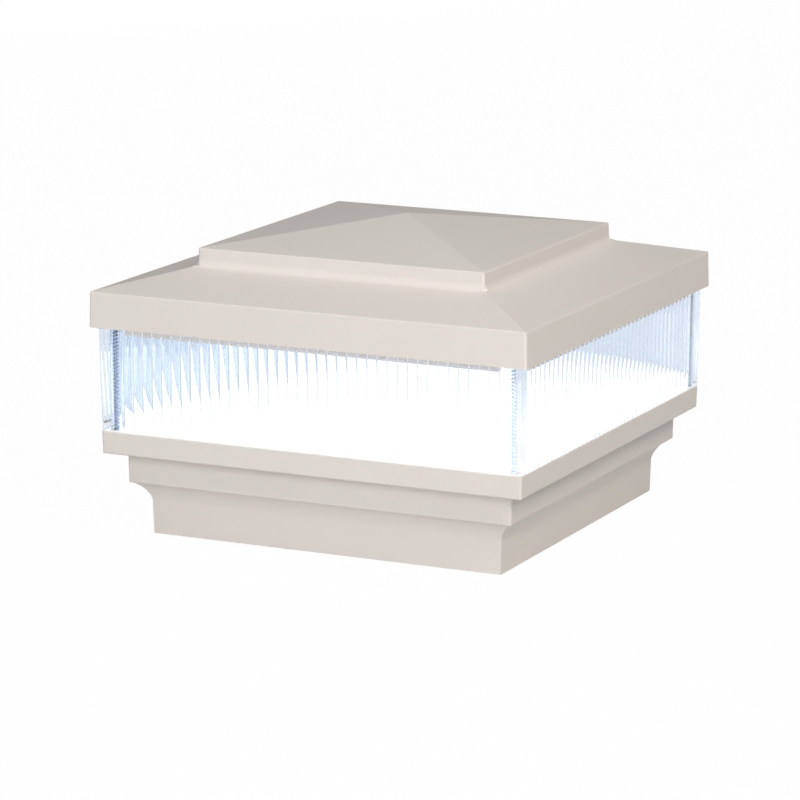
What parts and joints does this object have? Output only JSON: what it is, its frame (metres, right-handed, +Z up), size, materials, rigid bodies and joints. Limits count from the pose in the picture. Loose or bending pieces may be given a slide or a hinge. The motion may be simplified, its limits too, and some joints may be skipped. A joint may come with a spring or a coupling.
{
  "type": "deck post cap light",
  "caption": "Square post cap light: a stepped white base with a skirt that slips over a post sleeve, a clear reeded lens band and a two-tier hipped roof.",
  "frame": {"origin": "middle of the skirt's foot, on the plane that the skirt's lower edge stands on", "axes": "+Z up, along the post; X and Y square to the four sides, which are alike"},
  "size_m": [0.1656, 0.1656, 0.1089],
  "materials": {
    "white_plastic": "satin moulded outdoor plastic, UV-stable white",
    "clear_lens": "clear moulded acrylic, polished outside, vertical reeds inside",
    "opal_plastic": "opal diffusing acrylic, satin",
    "reflector_white": "white reflector sheet, semi-gloss",
    "rubber_black": "moulded rubber",
    "foam_grey": "closed-cell foam strip",
    "stainless": "stainless steel",
    "aluminium": "plain sheet",
    "thermal_pad": "soft silicone pad",
    "board_white": "white solder mask",
    "board_green": "green solder mask",
    "led_phosphor": "phosphor-coated LED package",
    "terminal_plastic": "moulded terminal body",
    "chip_black": "moulded package",
    "capacitor_can": "sleeved aluminium can",
    "ferrite": "sintered ferrite",
    "tinned_copper": "tinned copper strip",
    "brass": "knurled brass"
  },
  "bodies": {
    "base": {"base_housing": "white_plastic", "cable_grommet": "rubber_black", "lens_seal": "foam_grey", "tie_screws": "stainless", "tie_screw_washers": "stainless", "heat_spreader": "aluminium", "spreader_screws": "stainless", "thermal_pad": "thermal_pad", "led_board": "board_white", "led_board_screws": "stainless", "led_chips": "led_phosphor", "driver_board": "board_green", "driver_board_screws": "stainless", "terminal_block": "terminal_plastic", "terminal_screws": "stainless", "bridge_rectifier": "chip_black", "smoothing_capacitor": "capacitor_can", "power_inductor": "ferrite", "driver_chip": "chip_black", "sense_resistors": "chip_black", "jumper_leads": "tinned_copper", "diffuser": "opal_plastic"},
    "lens_ring": {"lens": "clear_lens"},
    "cap": {"cap_shell": "white_plastic", "cap_seal": "foam_grey", "reflector_plate": "reflector_white", "reflector_screws": "stainless", "threaded_inserts": "brass"}
  },
  "joints": [
    {"name": "lens_lift", "type": "slide", "parent": "base", "child": "lens_ring", "axis": [0, 0, 1], "range_m": [0, 0.06]},
    {"name": "cap_lift", "type": "slide", "parent": "lens_ring", "child": "cap", "axis": [0, 0, 1], "range_m": [0, 0.04]}
  ]
}
